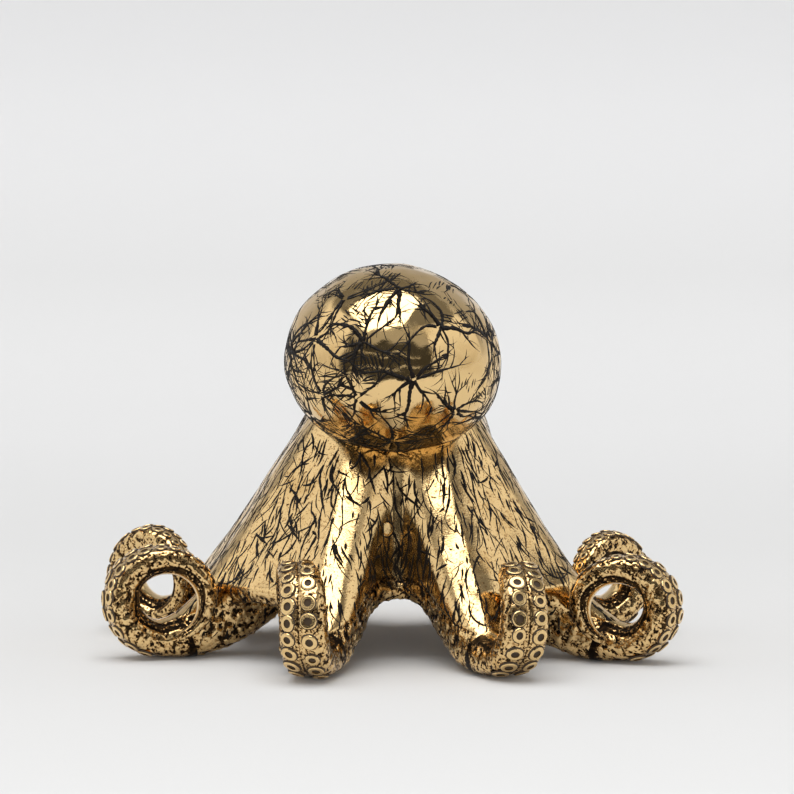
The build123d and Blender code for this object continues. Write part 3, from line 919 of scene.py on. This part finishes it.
def strips(trails, outs, counts, widths, rng, rooted=False, lift=0.035, depth=0.12):
    """Closed three-sided strips along strokes, pointed at the far end or at both."""
    points, faces, total = [], [], 0
    for trail, out, count, width in zip(trails, outs, counts, widths):
        line, normal = trail[:count], out[:count].copy()
        normal[1:-1] = normal[:-2] + normal[1:-1] + normal[2:]
        normal = unit(normal)
        side = unit(np.cross(normal, unit(np.gradient(line, axis=0))))
        share = np.linspace(0, 1, count)
        profile = 1.0 - 0.80 * share if rooted else np.minimum(1.0, 5.0 * share + 0.15)
        profile = profile * np.minimum(1.0, 2.6 * (1 - share) + 0.10)
        profile = profile * (1 + 0.22 * rng.normal(0, 1, count).clip(-1.5, 1.5))
        half = (0.5 * width * np.maximum(profile, 0.08))[:, None]
        left, right = line + side * half + normal * lift, line - side * half + normal * lift
        points.append(np.stack([left, right, line - normal * depth], 1).reshape(-1, 3))
        base = total + 3 * np.arange(count - 1)
        for a, b in ((1, 0), (2, 1), (0, 2)):
            faces.append(np.stack([base + a, base + b, base + 3 + b, base + 3 + a], 1))
        last = total + 3 * (count - 1)
        faces.append(np.array([[total, total + 1, total + 2, -1], [last, last + 2, last + 1, -1]]))
        total += 3 * count
    return np.concatenate(points), np.concatenate(faces)


def joined(parts):
    """One set of points and faces from several."""
    points, faces, total = [], [], 0
    for part_points, part_faces in parts:
        points.append(part_points)
        faces.append(np.where(part_faces >= 0, part_faces + total, -1))
        total += len(part_points)
    return np.concatenate(points), np.concatenate(faces)


def branches(skin, stems, each, angles, lengths, stride, rng):
    """Strokes that leave the stems at a sharp angle, forwards."""
    trails, outs, counts = stems
    picks = np.repeat(np.arange(len(trails)), each)
    spots = (counts[picks] * rng.uniform(0.12, 0.85, len(picks))).astype(int)
    spots = np.minimum(spots, counts[picks] - 2)
    starts = trails[picks, spots]
    ahead = unit(trails[picks, spots + 1] - starts)
    across = np.cross(outs[picks, spots], ahead)
    turn = rng.choice([-1, 1], len(picks)) * rng.uniform(*angles, len(picks))
    headings = ahead * np.cos(turn)[:, None] + across * np.sin(turn)[:, None]
    return picks, walk(skin, starts, headings, rng.uniform(*lengths, len(picks)), stride, 0.09, rng)


def hatching(skin, places, rng, lengths, spacing, stride):
    """Groups of short strokes side by side."""
    starts, headings, sizes = [], [], []
    for place in places:
        point, normal = skin.find_nearest(Vector(place))[:2]
        heading = Vector(rng.normal(size=3)).cross(normal).normalized()
        across = normal.cross(heading)
        length = rng.uniform(*lengths)
        for row in range(int(rng.integers(3, 7))):
            starts.append(point + across * spacing * row + heading * rng.normal(0, 0.8))
            headings.append(heading)
            sizes.append(length * rng.uniform(0.6, 1.1))
    return walk(skin, starts, headings, sizes, stride, 0.06, rng)


# Pixels of the photograph where the mantle's strokes spread out from
hub_pixels = ((324, 385), (413, 368), (364, 331), (399, 280), (358, 387), (452, 400), (392, 432), (318, 330),
              (440, 318), (345, 290))
mantle_middle_pixel, pixel_width, pixel_height, mantle_level = (392.5, 397), 0.383, 0.376, 97.0
far_hubs, hatch_groups, body_stroke_count = 62, int(230 * crowd), 2600 * crowd


def mantle_strokes():
    """Roots that spread from hubs all over the mantle, their branches and twigs, and hatching."""
    rng = np.random.default_rng(21)
    skin = BVHTree.FromPolygons(mantle_points.tolist(), mantle_faces[:, :3].tolist())
    hubs = []
    for x, y in hub_pixels:
        across = (x - mantle_middle_pixel[0]) * pixel_width + mantle_centre[0]
        level = mantle_level + (mantle_middle_pixel[1] - y) * pixel_height
        share = 1 - ((across - mantle_centre[0]) / mantle_half[0]) ** 2
        share = share - ((level - mantle_centre[2]) / mantle_half[2]) ** 2
        nearest = mantle_centre[1] - mantle_half[1] * math.sqrt(max(share, 0.02))
        hubs.append(np.array([across, nearest, level]))
    around = unit(rng.normal(size=(far_hubs, 3)))
    around = around[around[:, 1] > -0.45]
    hubs += list(mantle_centre + around * mantle_half)
    starts, headings = [], []
    for hub in hubs:
        outward = unit((hub - mantle_centre) / mantle_half**2)
        first = unit(np.cross(outward, [0.2, 0.3, 1.0]))
        second = np.cross(outward, first)
        count = int(rng.integers(5, 8))
        for turn in np.linspace(0, 2 * math.pi, count, endpoint=False) + rng.uniform(-0.4, 0.4, count):
            headings.append(math.cos(turn) * first + math.sin(turn) * second)
            starts.append(hub + headings[-1] * rng.uniform(0.0, 2.0))
    stems = walk(skin, starts, headings, rng.uniform(9, 27, len(starts)), 0.9, 0.08, rng)
    widths = rng.uniform(1.1, 2.1, len(starts))
    picks, limbs = branches(skin, stems, 3, (0.30, 0.85), (5, 14), 0.9, rng)
    _, twigs = branches(skin, limbs, 1, (0.4, 1.1), (3, 8), 0.8, rng)
    roots = joined([strips(*stems, widths, rng, True), strips(*limbs, 0.55 * widths[picks], rng, True)])
    loose = unit(rng.normal(size=(hatch_groups, 3)))
    lines = hatching(skin, mantle_centre + loose * mantle_half, rng, (4.0, 13.0), 1.45, 0.9)
    fine = joined([strips(*twigs, rng.uniform(0.30, 0.6, len(twigs[0])), rng, True),
                   strips(*lines, rng.uniform(0.30, 0.75, len(lines[0])), rng)])
    return roots, fine


roots, fine = mantle_strokes()
finish_piece(add_mesh("mantle_roots", *roots, [stroke_black]), "mantle_metal")
finish_piece(add_mesh("mantle_hatching", *fine, [stroke_black]), "mantle_metal")


def body_strokes():
    """Strokes that run down the webs and legs, close together at the top, with a few across."""
    rng = np.random.default_rng(33)
    skin = BVHTree.FromPolygons(body_points.tolist(), body_quads.tolist())
    pick = rng.permutation(len(body_points))
    height = body_points[pick, 2]
    outward = dot(body_normals[pick], unit(body_points[pick] * [1, 1, 0]))
    smooth_skin = (worn[pick] < 0.15) & (outward > -0.05) & (height > 9) & (leg_place[pick] < 0.97)
    outside = egg_distance(body_points[pick], mantle_centre, mantle_half) > 0.5
    pick = pick[smooth_skin & outside]
    chosen, taken = [], []
    for spot in pick[:14000]:
        here = body_points[spot]
        room = 1.7 + 1.2 * (here[2] < 45)
        if all(np.abs(here - other).sum() > room for other in taken[-500:]):
            chosen.append(spot)
            taken.append(here)
        if len(chosen) > body_stroke_count:
            break
    starts, normals = body_points[chosen], body_normals[chosen]
    downward = np.array([0.0, 0.0, -1.0]) - normals * -normals[:, 2:3]
    crossing = rng.random(len(chosen)) < 0.12
    turn = np.where(crossing, rng.uniform(0.6, 1.3, len(chosen)), rng.normal(0, 0.14, len(chosen)))
    turn = turn * rng.choice([-1, 1], len(chosen))
    across = np.cross(normals, unit(downward))
    headings = unit(downward) * np.cos(turn)[:, None] + across * np.sin(turn)[:, None]
    lengths = rng.uniform(4, 15, len(chosen)) * np.where(rng.random(len(chosen)) < 0.2, 1.6, 1.0)
    lines = walk(skin, starts, headings, lengths, 1.1, 0.10, rng)
    return strips(*lines, rng.uniform(0.28, 1.05, len(chosen)), rng)


finish_piece(add_mesh("body_strokes", *body_strokes(), [stroke_black]), "body_metal")


# Eyes and core pin

def turned_piece(name, profile, seat, outward, materials, ring_material, sides=48):
    """Round piece from a profile of radius and height, standing on its seat."""
    across = unit(np.cross(outward, [0.3, 0.2, 1.0]))
    other = np.cross(outward, across)
    turns = np.linspace(0, 2 * math.pi, sides, endpoint=False)
    rings = [seat + outward * high + wide * (np.cos(turns)[:, None] * across + np.sin(turns)[:, None] * other)
             for wide, high in profile]
    ends = [seat + outward * high for _, high in (profile[0], profile[-1])]
    points, faces = closed_tube(np.array(rings), *ends)
    shades = np.repeat([*ring_material, ring_material[-1], 0], sides)
    return add_mesh(name, points, faces, materials, None, shades)


stem_radius, stem_length = 2.0, 6.0
for side, word in ((-1, "left"), (1, "right")):
    seat, outward = eye_place(side)
    radius = eye_diameter / 2
    lifts = np.radians([0, 12, 24, 36, 48, 60, 68, 74, 80, 86])
    profile = [(stem_radius, -stem_length), (stem_radius, -0.4), (radius * 0.97, -0.3)]
    profile += [(radius * math.cos(a), eye_bulge * math.sin(a)) for a in lifts]
    eye = turned_piece("eyeball_" + word, profile, seat, outward, [eye_gold, stroke_black],
                       [0] * (len(profile) - 5) + [1, 1, 1, 1])
    finish_piece(eye, "eye_metal", "eye_" + word)


def sight_line(x, y):
    """Camera place and direction through a pixel, in millimetres about the neck's axis."""
    back = np.array([0.0, -math.cos(camera_pitch), math.sin(camera_pitch)])
    up = np.array([0.0, math.sin(camera_pitch), math.cos(camera_pitch)])
    eye = np.array([0.0, 0.0, aim_height]) + back * camera_distance
    right, down = (x - picture_size / 2) / focal_pixels, (y - picture_size / 2) / focal_pixels
    ray = -back + np.array([1.0, 0, 0]) * right - up * down
    return eye, unit(ray)


pin_pixel = (386.7, 529.5)
pin_eye, pin_ray = sight_line(*pin_pixel)
travel = 1080.0
for _ in range(60):
    travel += 0.8 * float(body_distance((pin_eye + pin_ray * travel)[None])[0])
pin_seat, pin_out = settle(body_distance, (pin_eye + pin_ray * travel)[None], 2)
pin_out = unit(pin_out[0] + 0.6 * -pin_ray)
pin_profile = [(2.0, -6.5), (3.15, -0.6), (3.2, 0.10), (2.75, 0.10), (2.70, -0.25), (2.55, 0.32), (2.2, 0.42),
               (1.2, 0.45)]
pin_shades = [1, 1, 1, 1, 0, 0, 0]
pin = turned_piece("core_pin", pin_profile, pin_seat[0], pin_out, [body_gold, stroke_black], pin_shades)
finish_piece(pin, "plug_metal", "core_plug")

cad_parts["neck_sleeve"].data.materials.clear()
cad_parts["neck_sleeve"].data.materials.append(sleeve_gold)


# Setting

def floor_and_back():
    """Pale paper sweep: a floor that ends in front of the view and curves up far behind, with painted light
    that makes the paper lighter as it rises and further back.
    """
    material, paper = new_material("paper")
    fibre = paper.noise(fibre_scale)
    place = paper.add("ShaderNodeTexCoord")["Object"]
    _, back, height = paper.add("ShaderNodeSeparateXYZ", {0: place})
    # Painted light: the paper's colour is lifted where the sweep rises and far back, where less lamp light
    # reaches it, so that it looks evenly lit.
    painted_light_share = paper.math("MAXIMUM", paper.ramp(height, -0.05, 0.30), paper.ramp(back, 0.10, 1.20, 0.0, 0.40))
    low = paper.mix(fibre, (0.605, 0.605, 0.602, 1), (0.625, 0.625, 0.622, 1))
    high = paper.mix(fibre, (0.75, 0.75, 0.755, 1), (0.77, 0.77, 0.775, 1))
    paper.feed(paper.nodes["Principled BSDF"], {
        "Base Color": paper.mix(painted_light_share, low, high), "Roughness": 0.9, "Specular IOR Level": 0.1})
    front_end, curve_start, curve_size, half_wide = -0.33, 1.35, 1.5, 4.5
    profile = [(front_end, 0.0), (curve_start, 0.0)]
    for turn in np.radians(range(3, 91, 3)):
        profile.append((curve_start + curve_size * math.sin(turn), curve_size - curve_size * math.cos(turn)))
    profile.append((curve_start + curve_size, 2.5 * curve_size))
    points = [(x, y, z) for y, z in profile for x in (-half_wide, half_wide)]
    faces = [(2 * k, 2 * k + 1, 2 * k + 3, 2 * k + 2) for k in range(len(profile) - 1)]
    mesh = bpy.data.meshes.new("paper_sweep")
    mesh.from_pydata(points, [], faces)
    mesh.polygons.foreach_set("use_smooth", np.ones(len(faces), bool))
    mesh.materials.append(material)
    sweep = add_object("paper_sweep", mesh)


def surroundings():
    """Pale studio: a white softbox overhead in a dark ceiling, and a dark room behind the camera."""
    world = bpy.context.scene.world = bpy.data.worlds.new("studio")
    world.use_nodes = True
    studio = Nodes(world.node_tree)

    def band(value, low, high, soft):
        fall = studio.ramp(value, high - soft, high + soft, 1.0, 0.0)
        return studio.times(studio.ramp(value, low - soft, low + soft), fall)

    x, y, z = studio.add("ShaderNodeSeparateXYZ", {0: studio.add("ShaderNodeTexCoord")["Generated"]})
    degrees = 180.0 / math.pi
    elevation = studio.times(studio.math("ARCSINE", z), degrees)
    azimuth = studio.times(studio.math("ARCTAN2", x, studio.times(y, -1.0)), degrees)
    overhead, above = studio.math("MAXIMUM", z, 0.02), studio.ramp(z, 0.3, 0.4)
    ceiling_x, ceiling_y = studio.math("DIVIDE", x, overhead), studio.math("DIVIDE", y, overhead)
    # Shade of each part of the studio as a strength of white light
    front = band(azimuth, -58.0, 50.0, 3.0)
    strip = studio.times(front, band(elevation, 31.0, 70.0, 3.0))
    room = studio.times(front, band(elevation, -60.0, 32.0, 2.0))
    line = studio.math("MAXIMUM", band(elevation, 13.3, 14.7, 0.3), band(elevation, -8.8, -7.4, 0.3))
    line = studio.times(line, band(azimuth, -45.0, 26.0, 3.0))
    from_middle = studio.math("ADD", studio.math("POWER", studio.math("SUBTRACT", ceiling_x, 0.1), 2.0),
                              studio.math("POWER", studio.math("SUBTRACT", ceiling_y, 0.2), 2.0))
    ceiling = studio.times(studio.ramp(from_middle, 0.78, 1.15, 1.0, 0.0), above)
    softbox = studio.times(band(ceiling_x, -0.66, 0.38, 0.02), band(ceiling_y, -0.80, 0.30, 0.03))
    softbox = studio.times(softbox, above)
    shade = studio.ramp(elevation, -5.0, 40.0, 0.70, 0.96)
    for mask, strength in ((strip, 0.42), (room, 0.055), (line, 0.9), (ceiling, 0.20), (softbox, 3.4)):
        change = studio.times(mask, studio.math("SUBTRACT", strength, shade))
        shade = studio.math("ADD", shade, change)
    rays = studio.add("ShaderNodeLightPath")
    light = studio.mix(rays["Is Camera Ray"], shade, (0.825, 0.825, 0.830, 1))
    studio.feed(studio.nodes["Background"], {"Color": light})


def lamp(name, place, size, energy):
    """Square lamp that points at the figure's foot and isn't mirrored in the metal."""
    light = bpy.data.lights.new(name, "AREA")
    light.shape = "RECTANGLE"
    light.size, light.size_y = size
    light.energy = energy
    holder = add_object(name, light)
    holder.location = place
    aim_line = Vector((neck[0], 0.0, 0.0)) - Vector(place)
    holder.rotation_euler = aim_line.to_track_quat("-Z", "Y").to_euler()
    holder.visible_glossy = False


floor_and_back()
surroundings()
lamp("ceiling softbox", (neck[0], -0.35, 1.1), (0.9, 1.1), 0.9)
lamp("front fill", (neck[0], -1.3, 0.30), (1.2, 0.35), 9.0)

camera_data = bpy.data.cameras.new("camera")
camera_data.lens = focal_pixels / picture_size * camera_data.sensor_width
camera = add_object("camera", camera_data)
camera.location = (
    neck[0],
    neck[1] - math.cos(camera_pitch) * camera_distance * MM,
    (aim_height + math.sin(camera_pitch) * camera_distance) * MM,
)
camera.rotation_euler = (math.pi / 2 - camera_pitch, 0.0, 0.0)
bpy.context.scene.camera = camera
bpy.context.scene.view_settings.view_transform = "Standard"
